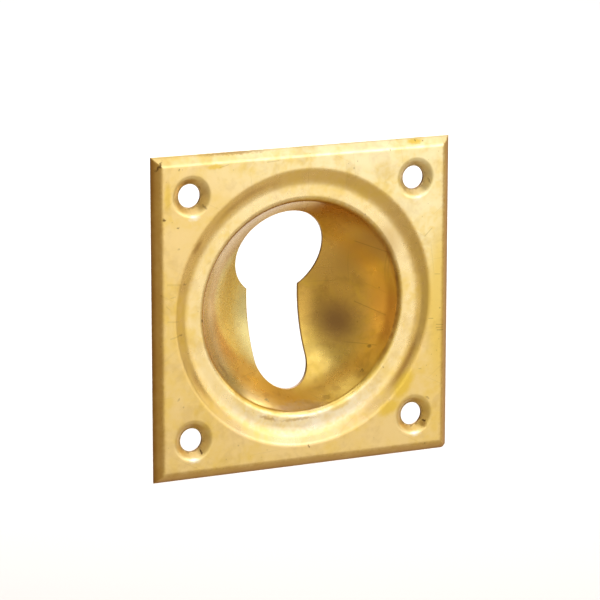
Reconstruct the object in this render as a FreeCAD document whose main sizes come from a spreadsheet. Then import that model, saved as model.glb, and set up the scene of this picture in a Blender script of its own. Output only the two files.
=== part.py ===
import FreeCAD, Part
import Sketcher
import math
import os

# Flush cover plate for a keyed door lock, pressed from one sheet of brass. All sizes are in millimetres.
# X points right, Z up, and the front looks along -Y. The door's surface is the plane y = 0, so the back
# of everything that rests on the door lies there. The origin is the centre of the four screw holes.

doc = FreeCAD.newDocument("escutcheon")
sheet = doc.addObject("Spreadsheet::Sheet", "sizes")

# The values that set the part: a name, the value and what it means.
values = [
    ("plate_side", 60.0, "outer side of the square plate"),
    ("sheet_thickness", 0.5, "brass sheet, the same everywhere"),
    ("plate_height", 1.6, "door surface to the front of the flat face"),
    ("rim_edge", 0.4, "height of the square edge round the plate"),
    ("bevel_width", 1.5, "width of the sloping rim, seen from the front"),
    ("rim_bend", 1.3, "front radius of the bend between rim and face"),
    ("ring_margin", 2.2, "flat face left between the rim's slope and the ring"),
    ("ring_slope", 27.0, "steepest slope of the ring's wall, in degrees"),
    ("ring_top_bend", 2.0, "front radius at the top of the ring's wall"),
    ("ring_foot_bend", 4.8, "front radius at the foot of the ring's wall"),
    ("land_width", 1.6, "flat land between the ring's wall and the bowl's roll"),
    ("roll_radius", 1.4, "front radius where the land rolls into the bowl"),
    ("bowl_depth", 13.6, "door surface to the deepest point of the bowl's front"),
    ("lobe_radius", 8.75, "round upper part of the lock cylinder's cut-out"),
    ("lobe_raise", 8.4, "height of that round part's centre"),
    ("slot_width", 10.6, "lower part of the cut-out"),
    ("cutout_height", 33.9, "cut-out from top to bottom"),
    ("screw_hole", 4.3, "diameter of a screw hole"),
    ("screw_seat", 0.12, "flat seat round a screw hole"),
    ("dimple_slope", 45.0, "slope of a dimple's wall, in degrees"),
    ("dimple_top_bend", 1.3, "front radius at the top of a dimple"),
    ("dimple_foot_bend", 0.2, "front radius at the foot of a dimple"),
    ("dimple_gap", 1.67, "flat face left between a dimple and the ring"),
]

# Sizes that follow from them.
derived = [
    ("face_back", "=plate_height - sheet_thickness", "back of the face, and how far the steps sink"),
    ("face_side", "=plate_side - 2 * bevel_width", "flat face, up to where the rim's slope meets it"),
    ("bevel_height", "=plate_height - rim_edge", "height of the sloping rim"),
    ("bevel_half_angle", "=atan(bevel_height / bevel_width) / 2", "half the rim's slope"),
    ("inner_inset", "=sheet_thickness * tan(bevel_half_angle)", "inner bend line inside the outer one"),
    ("inner_face_side", "=face_side - 2 * inner_inset", "side of the hollow behind the face"),
    ("inner_reach", "=face_back * bevel_width / bevel_height", "width of the hollow's own slope"),
    ("inner_rim_side", "=inner_face_side + 2 * inner_reach", "side of the hollow at the door"),
    ("inner_rim_bend", "=rim_bend - sheet_thickness", "back radius of the rim's bend"),
    ("ring_radius", "=face_side / 2 - ring_margin", "where the face starts to sink to the land"),
    ("ring_bends", "=(ring_top_bend + ring_foot_bend) * tan(ring_slope / 2)", "width that the bends take"),
    ("ring_reach", "=ring_bends + face_back / tan(ring_slope)", "width of the ring's wall and bends"),
    ("roll_across", "=ring_radius - ring_reach - land_width", "where the land starts to roll over"),
    ("bowl_height", "=bowl_depth + sheet_thickness", "front of the land to the bottom of the bowl"),
    ("roll_drop", "=bowl_height - roll_radius", "centre of the roll to the bottom of the bowl"),
    ("bowl_square", "=roll_across ^ 2 + roll_drop ^ 2 - roll_radius ^ 2", "used for the bowl's radius"),
    ("bowl_radius", "=bowl_square / (2 * bowl_height)", "front of the bowl, a sphere that meets the roll"),
    ("slot_round", "=slot_width / 2", "radius of the slot's lower end"),
    ("slot_foot", "=cutout_height - lobe_raise - lobe_radius - slot_round", "slot's lower centre, down"),
    ("dimple_bends", "=(dimple_top_bend + dimple_foot_bend) * tan(dimple_slope / 2)", "width of its bends"),
    ("dimple_reach", "=dimple_bends + face_back / tan(dimple_slope)", "width of a dimple's wall and bends"),
    ("dimple_radius", "=screw_hole / 2 + screw_seat + dimple_reach", "where the face starts to sink"),
    ("screw_half", "=(ring_radius + dimple_gap + dimple_radius) / sqrt(2)", "screw hole from the middle"),
]

for row, (alias, amount, meaning) in enumerate(values + derived, start=1):
    sheet.set("A" + str(row), meaning)
    sheet.set("B" + str(row), str(amount))
    sheet.setAlias("B" + str(row), alias)
doc.recompute()

body = doc.addObject("PartDesign::Body", "escutcheon_plate")
body.Label = "escutcheon_plate"


def size(alias):
    return float(sheet.get(alias))


def point(across, along):
    return FreeCAD.Vector(across, along, 0)


def origin_item(role):
    return next(item for item in body.Origin.OriginFeatures if item.Role == role)


def new_sketch(name, role, offset=None):
    # A sketch on one of the body's own planes, moved along the plane's normal by a size in the sheet.
    sketch = body.newObject("Sketcher::SketchObject", name)
    sketch.AttachmentSupport = [(origin_item(role), "")]
    sketch.MapMode = "FlatFace"
    if offset:
        sketch.setExpression("AttachmentOffset.Base.z", "sizes." + offset)
    return sketch


def add_line(sketch, start, end):
    return sketch.addGeometry(Part.LineSegment(start, end))


def add_arc(sketch, centre, radius, start, end):
    circle = Part.Circle(centre, FreeCAD.Vector(0, 0, 1), radius)
    return sketch.addGeometry(Part.ArcOfCircle(circle, math.radians(start), math.radians(end)))


def tie(sketch, kind, *where):
    return sketch.addConstraint(Sketcher.Constraint(kind, *where))


def dimension(sketch, name, formula, kind, *where):
    # The last of the numbers is the size to start from, and the formula over the sheet then holds it.
    sketch.renameConstraint(tie(sketch, kind, *where), name)
    sketch.setExpression("Constraints." + name, formula)


def centred_square(name, side, offset=None):
    sketch = new_sketch(name, "XZ_Plane", offset)
    half = size(side) / 2
    corners = [point(-half, -half), point(half, -half), point(half, half), point(-half, half)]
    for number in range(4):
        add_line(sketch, corners[number], corners[(number + 1) % 4])
    for number in range(4):
        tie(sketch, "Coincident", number, 2, (number + 1) % 4, 1)
        tie(sketch, "Vertical" if number % 2 else "Horizontal", number)
    tie(sketch, "Symmetric", 0, 1, 1, 2, -1, 1)
    dimension(sketch, "across", "sizes." + side, "DistanceX", 0, 1, 0, 2, 2 * half)
    dimension(sketch, "up", "sizes." + side, "DistanceY", 1, 1, 1, 2, 2 * half)
    return sketch


def round_opening(name, radius, middle=None):
    # A disc taken out of the flat face, which a pressed step then fills.
    sketch = new_sketch(name + "_outline", "XZ_Plane", "plate_height")
    along = size(middle) if middle else 0
    circle = Part.Circle(point(along, along), FreeCAD.Vector(0, 0, 1), size(radius))
    sketch.addGeometry(circle)
    dimension(sketch, "radius", "sizes." + radius, "Radius", 0, size(radius))
    if middle:
        dimension(sketch, "across", "sizes." + middle, "DistanceX", -1, 1, 0, 3, along)
        dimension(sketch, "up", "sizes." + middle, "DistanceY", -1, 1, 0, 3, along)
    else:
        tie(sketch, "Coincident", 0, 3, -1, 1)
    opening = body.newObject("PartDesign::Pocket", name)
    opening.Profile = sketch
    opening.setExpression("Length", "sizes.sheet_thickness")
    return opening


def pressed_step(sketch, kind, axis, middle):
    # The sheet where it sinks from the face: top bend, sloping wall and foot bend, first along the front
    # and then along the back, which is the same curve one thickness behind.
    slope = size(kind + "_slope")
    angle = math.radians(slope)
    top = size(kind + "_top_bend")
    foot = size(kind + "_foot_bend")
    outward = point(math.sin(angle), math.cos(angle))
    top_centre = point(middle + size(kind + "_radius"), top - size("plate_height"))
    foot_centre = point(top_centre.x - size(kind + "_reach"), -foot - size("sheet_thickness"))
    sides = []
    for behind in (0, size("sheet_thickness")):
        wall_top = top_centre - outward * (top - behind)
        wall_foot = foot_centre + outward * (foot + behind)
        upper = add_arc(sketch, top_centre, top - behind, -90 - slope, -90)
        wall = add_line(sketch, wall_top, wall_foot)
        lower = add_arc(sketch, foot_centre, foot + behind, 90 - slope, 90)
        tie(sketch, "Tangent", upper, 1, wall, 1)
        tie(sketch, "Tangent", wall, 2, lower, 1)
        sides.append((upper, wall, lower))
    front, back = sides
    edge_front = point(top_centre.x, -size("plate_height"))
    edge_back = point(top_centre.x, -size("face_back"))
    edge = add_line(sketch, edge_front, edge_back)
    tie(sketch, "Coincident", front[0], 2, edge, 1)
    tie(sketch, "Coincident", back[0], 2, edge, 2)
    tie(sketch, "Vertical", edge)
    tie(sketch, "Vertical", front[0], 3, front[0], 2)
    tie(sketch, "Coincident", front[0], 3, back[0], 3)
    tie(sketch, "Coincident", front[2], 3, back[2], 3)
    bend = "sizes." + kind + "_top_bend"
    dimension(sketch, "front_top_bend", bend, "Radius", front[0], top)
    dimension(sketch, "back_top_bend", bend + " - sizes.sheet_thickness", "Radius", back[0], top - behind)
    bend = "sizes." + kind + "_foot_bend"
    dimension(sketch, "front_foot_bend", bend, "Radius", front[2], foot)
    dimension(sketch, "back_foot_bend", bend + " + sizes.sheet_thickness", "Radius", back[2], foot + behind)
    dimension(sketch, "slope", "180 - sizes." + kind + "_slope", "Angle", front[1], math.pi - angle)
    outer = size(kind + "_radius")
    height = size("plate_height")
    dimension(sketch, "outer", "sizes." + kind + "_radius", "DistanceX", *axis, edge, 1, outer)
    dimension(sketch, "height", "sizes.plate_height", "DistanceY", edge, 1, -1, 1, height)
    dimension(sketch, "floor", "sizes.sheet_thickness", "DistanceY", front[2], 2, -1, 1, behind)
    return front[2], back[2], foot_centre.x


# The tray: a square plate with a sloping rim, hollow behind, and its bends between rim and face.
base_outline = centred_square("base_outline", "plate_side")
rim_outline = centred_square("rim_outline", "plate_side", "rim_edge")
face_outline = centred_square("face_outline", "face_side", "plate_height")
block = body.newObject("PartDesign::AdditiveLoft", "block")
block.Profile = base_outline
block.Sections = [rim_outline, face_outline]
block.Ruled = True
doc.recompute()

hollow_outline = centred_square("hollow_outline", "inner_rim_side")
hollow_top = centred_square("hollow_top", "inner_face_side", "face_back")
hollow = body.newObject("PartDesign::SubtractiveLoft", "hollow")
hollow.Profile = hollow_outline
hollow.Sections = [hollow_top]
hollow.Ruled = True
doc.recompute()


def edges_at(feature, along):
    found = []
    for number, edge in enumerate(feature.Shape.Edges, start=1):
        box = edge.BoundBox
        if abs(box.YMin - along) < 0.001 and abs(box.YMax - along) < 0.001:
            found.append("Edge" + str(number))
    return found


outer_bend = body.newObject("PartDesign::Fillet", "outer_bend")
outer_bend.Base = (hollow, edges_at(hollow, -size("plate_height")))
outer_bend.setExpression("Radius", "sizes.rim_bend")
doc.recompute()

inner_bend = body.newObject("PartDesign::Fillet", "inner_bend")
inner_bend.Base = (outer_bend, edges_at(outer_bend, -size("face_back")))
inner_bend.setExpression("Radius", "sizes.inner_rim_bend")
doc.recompute()

# The ring and the bowl: the face sinks to a flat land, which rolls over into the round bowl.
ring_opening = round_opening("ring_opening", "ring_radius")
doc.recompute()

ring = new_sketch("ring_and_bowl_section", "XY_Plane")
front_foot, back_foot, land_edge = pressed_step(ring, "ring", (-1, 1), 0)
thick = size("sheet_thickness")
roll = size("roll_radius")
bowl = size("bowl_radius")
bowl_centre = point(0, size("bowl_depth") - bowl)
roll_centre = point(size("roll_across"), roll - thick)
turn = math.degrees(math.atan2(roll_centre.y - bowl_centre.y, roll_centre.x))

front_land = add_line(ring, point(land_edge, -thick), point(roll_centre.x, -thick))
front_roll = add_arc(ring, roll_centre, roll, turn - 180, -90)
front_bowl = add_arc(ring, bowl_centre, bowl, turn, 90)
back_land = add_line(ring, point(land_edge, 0), point(roll_centre.x, 0))
back_roll = add_arc(ring, roll_centre, roll - thick, turn - 180, -90)
back_bowl = add_arc(ring, bowl_centre, bowl + thick, turn, 90)
middle = add_line(ring, bowl_centre + point(0, bowl), bowl_centre + point(0, bowl + thick))
tie(ring, "Tangent", front_foot, 2, front_land, 1)
tie(ring, "Tangent", front_land, 2, front_roll, 2)
tie(ring, "Tangent", front_roll, 1, front_bowl, 1)
tie(ring, "Tangent", back_foot, 2, back_land, 1)
tie(ring, "Tangent", back_land, 2, back_roll, 2)
tie(ring, "Tangent", back_roll, 1, back_bowl, 1)
tie(ring, "Horizontal", front_land)
tie(ring, "Coincident", front_roll, 3, back_roll, 3)
tie(ring, "Coincident", front_bowl, 3, back_bowl, 3)
tie(ring, "Coincident", front_bowl, 2, middle, 1)
tie(ring, "Coincident", back_bowl, 2, middle, 2)
tie(ring, "PointOnObject", front_bowl, 3, -2)
tie(ring, "PointOnObject", middle, 1, -2)
tie(ring, "PointOnObject", middle, 2, -2)
dimension(ring, "roll", "sizes.roll_radius", "Radius", front_roll, roll)
dimension(ring, "front_bowl", "sizes.bowl_radius", "Radius", front_bowl, bowl)
dimension(ring, "back_bowl", "sizes.bowl_radius + sizes.sheet_thickness", "Radius", back_bowl, bowl + thick)
dimension(ring, "bowl_depth", "sizes.bowl_depth", "DistanceY", -1, 1, middle, 1, size("bowl_depth"))
doc.recompute()

pressed_bowl = body.newObject("PartDesign::Revolution", "ring_and_bowl")
pressed_bowl.Profile = ring
pressed_bowl.ReferenceAxis = (ring, ["V_Axis"])
pressed_bowl.Angle = 360
doc.recompute()

# A dimple with its screw hole in the upper right corner, and the other three turned from it.
dimple_opening = round_opening("dimple_opening", "dimple_radius", "screw_half")
doc.recompute()

dimple = new_sketch("dimple_section", "XY_Plane", "screw_half")
screw_half = size("screw_half")
screw_radius = size("screw_hole") / 2
axis = add_line(dimple, point(screw_half, 0), point(screw_half, thick))
dimple.setConstruction(axis, True)
tie(dimple, "Vertical", axis)
tie(dimple, "PointOnObject", axis, 1, -1)
dimension(dimple, "axis", "sizes.screw_half", "DistanceX", -1, 1, axis, 1, screw_half)
dimension(dimple, "axis_length", "sizes.sheet_thickness", "DistanceY", axis, 1, axis, 2, thick)
front_foot, back_foot, floor_edge = pressed_step(dimple, "dimple", (axis, 1), screw_half)
hole_edge = screw_half + screw_radius
front_floor = add_line(dimple, point(floor_edge, -thick), point(hole_edge, -thick))
back_floor = add_line(dimple, point(floor_edge, 0), point(hole_edge, 0))
hole_wall = add_line(dimple, point(hole_edge, -thick), point(hole_edge, 0))
tie(dimple, "Tangent", front_foot, 2, front_floor, 1)
tie(dimple, "Tangent", back_foot, 2, back_floor, 1)
tie(dimple, "Coincident", front_floor, 2, hole_wall, 1)
tie(dimple, "Coincident", back_floor, 2, hole_wall, 2)
tie(dimple, "Horizontal", front_floor)
tie(dimple, "Horizontal", back_floor)
tie(dimple, "Vertical", hole_wall)
dimension(dimple, "hole", "sizes.screw_hole / 2", "DistanceX", axis, 1, hole_wall, 2, screw_radius)
doc.recompute()

pressed_dimple = body.newObject("PartDesign::Revolution", "dimple")
pressed_dimple.Profile = dimple
pressed_dimple.ReferenceAxis = (dimple, ["Axis0"])
pressed_dimple.Angle = 360
doc.recompute()

dimples = body.newObject("PartDesign::PolarPattern", "four_dimples")
dimples.Originals = [dimple_opening, pressed_dimple]
dimples.Axis = (origin_item("Y_Axis"), [""])
dimples.Angle = 360
dimples.Occurrences = 4
body.Tip = dimples
doc.recompute()

# The cut-out for the lock cylinder, punched straight through the bowl: a round lobe over a slot.
cutout = new_sketch("cutout_outline", "XZ_Plane", "plate_height")
lobe_radius = size("lobe_radius")
lobe_centre = point(0, size("lobe_raise"))
slot_round = size("slot_round")
slot_foot = point(0, -size("slot_foot"))
shoulder = math.degrees(math.asin(slot_round / lobe_radius))
shoulder_height = lobe_centre.y - math.sqrt(lobe_radius**2 - slot_round**2)
lobe = add_arc(cutout, lobe_centre, lobe_radius, shoulder - 90, 270 - shoulder)
left_side = add_line(cutout, point(-slot_round, shoulder_height), point(-slot_round, slot_foot.y))
foot = add_arc(cutout, slot_foot, slot_round, 180, 360)
right_side = add_line(cutout, point(slot_round, slot_foot.y), point(slot_round, shoulder_height))
tie(cutout, "Coincident", lobe, 2, left_side, 1)
tie(cutout, "Tangent", left_side, 2, foot, 1)
tie(cutout, "Tangent", foot, 2, right_side, 1)
tie(cutout, "Coincident", right_side, 2, lobe, 1)
tie(cutout, "Vertical", left_side)
tie(cutout, "Vertical", right_side)
tie(cutout, "PointOnObject", lobe, 3, -2)
tie(cutout, "PointOnObject", foot, 3, -2)
dimension(cutout, "lobe", "sizes.lobe_radius", "Radius", lobe, lobe_radius)
dimension(cutout, "slot", "sizes.slot_round", "Radius", foot, slot_round)
dimension(cutout, "raise", "sizes.lobe_raise", "DistanceY", -1, 1, lobe, 3, lobe_centre.y)
dimension(cutout, "foot", "sizes.slot_foot", "DistanceY", foot, 3, -1, 1, -slot_foot.y)
doc.recompute()

before_cutout = dimples.Shape.Volume
cylinder_cutout = body.newObject("PartDesign::Pocket", "cylinder_cutout")
cylinder_cutout.Profile = cutout
cylinder_cutout.Type = "ThroughAll"
doc.recompute()
if cylinder_cutout.Shape.Volume > before_cutout - 1:
    raise SystemExit("the cut-out missed the bowl")

for item in doc.Objects:
    if "Invalid" in item.State or "Error" in item.State:
        raise SystemExit(item.Label + " could not be built")
    if item.TypeId.startswith("Sketcher") and item.solve() != 0:
        raise SystemExit(item.Label + " has clashing constraints")
if body.Shape.isNull() or not body.Shape.isValid() or len(body.Shape.Solids) != 1:
    raise SystemExit("the plate is not one sound solid")

os.makedirs("parts", exist_ok=True)
body.Shape.exportStep("parts/" + body.Label + ".step")
box = body.Shape.optimalBoundingBox()
print("plate", round(box.XLength, 2), "x", round(box.YLength, 2), "x", round(box.ZLength, 2), "mm")
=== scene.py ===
import math

import bpy
import numpy as np
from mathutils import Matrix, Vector


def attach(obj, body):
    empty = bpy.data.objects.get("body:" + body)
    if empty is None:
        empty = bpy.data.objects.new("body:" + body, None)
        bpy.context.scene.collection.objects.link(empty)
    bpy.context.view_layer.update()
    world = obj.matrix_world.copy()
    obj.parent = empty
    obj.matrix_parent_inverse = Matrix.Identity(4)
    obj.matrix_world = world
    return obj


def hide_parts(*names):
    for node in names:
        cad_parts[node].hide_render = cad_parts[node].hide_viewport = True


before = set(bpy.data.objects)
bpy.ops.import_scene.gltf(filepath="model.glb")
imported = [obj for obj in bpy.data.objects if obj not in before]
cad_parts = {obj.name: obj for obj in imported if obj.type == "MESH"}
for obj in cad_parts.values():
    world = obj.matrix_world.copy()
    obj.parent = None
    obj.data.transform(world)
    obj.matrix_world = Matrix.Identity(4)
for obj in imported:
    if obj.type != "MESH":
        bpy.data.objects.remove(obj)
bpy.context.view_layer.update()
print("frame loaded")

# The plate's sizes in millimetres and degrees, the same as in the CAD part.
plateSizes = {
    "side": 60.0,
    "thickness": 0.5,
    "height": 1.6,  # from the door to the front of the flat face
    "rimEdge": 0.4,  # the square edge at the foot of the slope
    "bevelWidth": 1.5,
    "rimBend": 1.3,  # this and the other bends are radii on the front
    "ringMargin": 2.2,  # from the slope to the ring
    "ringSlope": 27.0,
    "ringTopBend": 2.0,
    "ringFootBend": 4.8,
    "landWidth": 1.6,
    "rollRadius": 1.4,  # over the bowl's mouth
    "bowlDepth": 13.6,
    "lobeRadius": 8.75,
    "lobeRaise": 8.4,  # from the plate's middle to the lobe's
    "slotWidth": 10.6,
    "cutoutHeight": 33.9,
    "screwHole": 4.3,
    "screwSeat": 0.12,  # the flat ring round the hole
    "dimpleSlope": 45.0,
    "dimpleTopBend": 1.3,
    "dimpleFootBend": 0.2,
    "dimpleGap": 1.67,  # from the ring to a dimple
}

# How fine the mesh is and how much its edges are rounded, in millimetres and degrees.
meshSizes = {
    "columns": 400,  # round the plate
    "bowlRows": 26,
    "bowlCrowding": 1.25,  # above 1, the bowl's rows are closer together near the keyhole
    "rollRows": 14,
    "landRows": (0.15, 0.5, 0.85),  # shares of the way across the land
    "ringRows": (10, 12),  # in the top bend and in the foot bend
    "dimpleRows": (8, 5),
    "faceRows": 8,
    "rimRows": 9,  # in each bend
    "edgeRound": 0.07,  # cut edges
    "holdingRow": 0.12,  # keeps the flat face flat beside a bend
    "cornerHold": 0.2,  # keeps the rim's corners sharp, as an angle
    "shoulderGap": 0.7,  # no column is nearer to the keyhole's shoulders, as an angle
    "cornerWindow": 12.0,  # half the angle that a dimple's window takes up
    "wornCorner": 1.0,  # radius of the one rubbed corner
    "wornColumns": (-1.3, -0.6, 0.6, 1.3),  # more columns beside it, as angles
}

# Which of the plate's materials a face has.
finishes = {"front": 0, "back": 1, "cut": 2}
cornerAngles = np.array([45, 135, 225, 315])


def unit(vectors):
    # Each vector divided by its own length.
    return vectors / np.linalg.norm(vectors, axis=-1, keepdims=True)


def ring(plan, depth):
    # A row of points from their places across and up, at one depth or a depth for each.
    return np.stack([plan[:, 0], np.broadcast_to(depth, plan[:, 0].shape), plan[:, 1]], axis=-1)


def quads(index, closed=False):
    # The corners of each cell in a grid of vertex numbers: its own, the next row's, and the same two in the
    # next column. The columns run right round, and the last row meets the first one if it is closed.
    near = index if closed else index[:-1]
    far = np.roll(index, -1, axis=0) if closed else index[1:]
    return np.stack([near, far, np.roll(far, -1, axis=1), np.roll(near, -1, axis=1)], axis=-1)


def roundedEdge(before, corner, after):
    # A short way back along each side of the corner, and between them the parabola that touches both.
    start = corner + meshSizes["edgeRound"] * unit(before - corner)
    end = corner + meshSizes["edgeRound"] * unit(after - corner)
    return [start, (start + 2 * corner + end) / 4, end]


def arcStations(centre, radius, first, last, count):
    # Round a centre in a section: across = centre + radius sin a, depth = centre - radius cos a.
    turn = np.radians(np.linspace(first, last, count))
    return np.stack([centre[0] + radius * np.sin(turn), centre[1] - radius * np.cos(turn)], axis=-1)


def stepReach(slope, topBend, footBend):
    # How far across a step goes: the bends' radii x tan(slope / 2) + the drop / tan(slope).
    drop = plateSizes["height"] - plateSizes["thickness"]
    steepest = math.radians(slope)
    return (topBend + footBend) * math.tan(steepest / 2) + drop / math.tan(steepest)


def pressedStep(radius, slope, topBend, footBend, behind, counts):
    # The section where the sheet sinks from the face: an arc over the top, a straight wall and an arc at
    # the foot that bends the other way. The back is the same curve one thickness behind.
    s = plateSizes
    top = arcStations((radius, topBend - s["height"]), topBend - behind, 0, -slope, counts[0])
    footCentre = (radius - stepReach(slope, topBend, footBend), -footBend - s["thickness"])
    foot = arcStations(footCentre, -footBend - behind, -slope, 0, counts[1])
    return np.concatenate([top, foot]), footCentre[0]


def ringRadius():
    # Half the side less the slope and the margin.
    s = plateSizes
    return s["side"] / 2 - s["bevelWidth"] - s["ringMargin"]


def dimpleRadius():
    # Half the screw hole plus its seat and the step's reach.
    s = plateSizes
    reach = stepReach(s["dimpleSlope"], s["dimpleTopBend"], s["dimpleFootBend"])
    return s["screwHole"] / 2 + s["screwSeat"] + reach


def screwPlace():
    # How far a screw hole's centre is from the plate's, across and up: the ring's radius, the gap and the
    # dimple's radius, over the root of 2.
    return (ringRadius() + plateSizes["dimpleGap"] + dimpleRadius()) / math.sqrt(2)


def ringSection(behind):
    # From the face inwards: the step, the land, and the roll, which ends where it touches the bowl's sphere.
    # The sphere's radius is (across squared + drop squared - roll squared) / twice the bowl's height, and
    # the sine of the roll's last angle is across / the sum of both radii.
    s, m = plateSizes, meshSizes
    bends = s["ringTopBend"], s["ringFootBend"]
    step, landEdge = pressedStep(ringRadius(), s["ringSlope"], *bends, behind, m["ringRows"])
    land = np.array([[landEdge - part * s["landWidth"], behind - s["thickness"]] for part in m["landRows"]])
    rollAcross = landEdge - s["landWidth"]
    bowlHeight = s["bowlDepth"] + s["thickness"]
    rollDrop = bowlHeight - s["rollRadius"]
    bowlRadius = (rollAcross**2 + rollDrop**2 - s["rollRadius"] ** 2) / (2 * bowlHeight)
    steepest = math.degrees(math.asin(rollAcross / (bowlRadius + s["rollRadius"])))
    rollCentre = (rollAcross, s["rollRadius"] - s["thickness"])
    roll = arcStations(rollCentre, s["rollRadius"] - behind, 0, -steepest, m["rollRows"])
    return np.concatenate([step, land, roll]), bowlRadius + behind, s["bowlDepth"] - bowlRadius


def shoulderAngle():
    # The angle from the middle to the place where the lobe meets the side of the slot: the tangent is the
    # lobe's raise less the root of (its radius squared less half the slot squared), over half the slot.
    s = plateSizes
    half = s["slotWidth"] / 2
    return math.atan2(s["lobeRaise"] - math.sqrt(s["lobeRadius"] ** 2 - half**2), half)


def keyholeOutline(heading):
    # Seen from the front, the outline is at a distance from the middle that depends on the direction: the
    # far side of the lobe's circle, the straight sides of the slot, or the far side of its round foot.
    s = plateSizes
    half = s["slotWidth"] / 2
    foot = s["cutoutHeight"] - s["lobeRaise"] - s["lobeRadius"] - half
    across, up = heading.T
    lobe = s["lobeRaise"] * up + np.sqrt(s["lobeRadius"] ** 2 - (s["lobeRaise"] * across) ** 2)
    side = half / np.maximum(np.abs(across), 1e-9)
    end = -foot * up + np.sqrt(np.maximum(half**2 - (foot * across) ** 2, 0))
    distance = np.where(up > math.sin(shoulderAngle()), lobe, np.where(side * up > -foot, side, end))
    return heading * distance[:, None]


def columnAngles():
    # Even angles round the plate, less those too near the keyhole's shoulders. To them come the shoulders,
    # a pair beside each corner of the rim and a few beside the worn corner.
    m = meshSizes
    shoulder = math.degrees(shoulderAngle())
    shoulders = np.array([shoulder, 180 - shoulder])
    even = np.arange(m["columns"]) * 360 / m["columns"]
    even = even[np.abs(even[:, None] - shoulders).min(axis=1) > m["shoulderGap"]]
    beside = [cornerAngles - m["cornerHold"], cornerAngles + m["cornerHold"]]
    worn = cornerAngles[3] + np.array(m["wornColumns"])
    return np.radians(np.unique(np.concatenate([even, *beside, shoulders, worn])))


def discRows(heading, behind):
    # The front or the back of the disc inside the ring, from the keyhole outwards: the corner at its edge,
    # a row just inside, the bowl, and the roll, the land and the step. The bowl's rows go from the keyhole's
    # outline to the mouth's circle, and depth = centre + root of (sphere squared less distance squared).
    m = meshSizes
    section, sphere, sphereCentre = ringSection(behind)

    def bowlRing(plan):
        return ring(plan, sphereCentre + np.sqrt(sphere**2 - (plan**2).sum(axis=1)))

    outline = keyholeOutline(heading)
    along = np.roll(outline, -1, axis=0) - np.roll(outline, 1, axis=0)
    outward = unit(np.stack([along[:, 1], -along[:, 0]], axis=-1))
    edgePlan = outline + m["edgeRound"] * outward
    mouthPlan = heading * section[-1, 0]
    parts = np.linspace(0, 1, m["bowlRows"] + 1)[1:-1] ** m["bowlCrowding"]
    bowl = [bowlRing(edgePlan * (1 - part) + mouthPlan * part) for part in parts]
    sunk = [ring(heading * across, depth) for across, depth in section[::-1]]
    return bowlRing(outline), bowlRing(edgePlan), bowl + sunk


def rimSection():
    # From the front to the back: bend, slope, square edge, underside, slope and bend. The bends touch the
    # flat face and the slope, and the underside ends where the back of the slope meets the door.
    s, m = plateSizes, meshSizes
    half = s["side"] / 2
    slope = math.degrees(math.atan2(s["height"] - s["rimEdge"], s["bevelWidth"]))
    bendAt = half - s["bevelWidth"] - s["rimBend"] * math.tan(math.radians(slope / 2))
    bendCentre = (bendAt, s["rimBend"] - s["height"])
    frontBend = arcStations(bendCentre, s["rimBend"], 0, slope, m["rimRows"])
    backBend = arcStations(bendCentre, s["rimBend"] - s["thickness"], slope, 0, m["rimRows"])
    outerTop = np.array([half, -s["rimEdge"]])
    outerFoot = np.array([half, 0.0])
    innerFoot = np.array([backBend[0, 0] - backBend[0, 1] / math.tan(math.radians(slope)), 0.0])
    return bendAt, [
        *frontBend,
        *roundedEdge(frontBend[-1], outerTop, outerFoot),
        *roundedEdge(outerTop, outerFoot, innerFoot),
        *roundedEdge(outerFoot, innerFoot, backBend[0]),
        *backBend,
    ]


def wornCorner(heading):
    # The lower right corner is rubbed round. Along each direction u, its circle round c is met at
    # u.c + root of ((u.c) squared - c.c + radius squared), given as a share of the way to the square's edge.
    half, radius = plateSizes["side"] / 2, meshSizes["wornCorner"]
    centre = np.array([half - radius, radius - half])
    towards = heading @ centre
    root = towards**2 - centre @ centre + radius**2
    met = heading * (towards + np.sqrt(np.maximum(root, 0)))[:, None]
    inCorner = (root > 0) & (met[:, 0] > centre[0]) & (met[:, 1] < centre[1])
    return np.where(inCorner, np.abs(met).max(axis=1) / half, 1.0)[:, None]


def rimRings(heading, square):
    # Each row of the rim is the square, as large as its station is across. The worn corner's share grows
    # from 0 at the bend to 1 at the outer edge, as the square of the way between them.
    half = plateSizes["side"] / 2
    worn = wornCorner(heading)
    bendAt, section = rimSection()
    rows = []
    for across, depth in section:
        share = np.clip((across - bendAt) / (half - bendAt), 0, 1) ** 2
        rows.append(ring(square * across * (1 - share + share * worn), depth))
    return bendAt, rows


def dimpleSection():
    # From the front to the back, each station a distance from the hole's centre and a depth: a row that
    # holds the flat face, the step, the two edges of the hole, the step again and another holding row.
    s, m = plateSizes, meshSizes
    hole, radius = s["screwHole"] / 2, dimpleRadius()
    shape = radius, s["dimpleSlope"], s["dimpleTopBend"], s["dimpleFootBend"]
    frontStep = pressedStep(*shape, 0, m["dimpleRows"])[0]
    backStep = pressedStep(*shape, s["thickness"], m["dimpleRows"][::-1])[0][::-1]
    frontLip = np.array([hole, -s["thickness"]])
    backLip = np.array([hole, 0.0])
    section = [
        (radius + m["holdingRow"], -s["height"]),
        *frontStep,
        *roundedEdge(frontStep[-1], frontLip, backLip),
        *roundedEdge(frontLip, backLip, backStep[0]),
        *backStep,
        (radius + m["holdingRow"], s["thickness"] - s["height"]),
    ]
    # The finish of the bands between the stations, and of one more at each end.
    frontBands, cutBands = len(frontStep) + 2, 4
    bands = [frontBands, cutBands, len(section) + 1 - frontBands - cutBands]
    return section, np.repeat([finishes["front"], finishes["cut"], finishes["back"]], bands)


def windowLoop(index, near, far, start, end):
    # The vertex numbers round a window of the grid: out along one side, across, back and across again.
    step = 1 if end > start else -1
    columns = np.arange(near, far + 1)
    return np.concatenate([
        index[start, columns[:-1]],
        index[np.arange(start, end, step), far],
        index[end, columns[:0:-1]],
        index[np.arange(end, start, -step), near],
    ])


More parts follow.
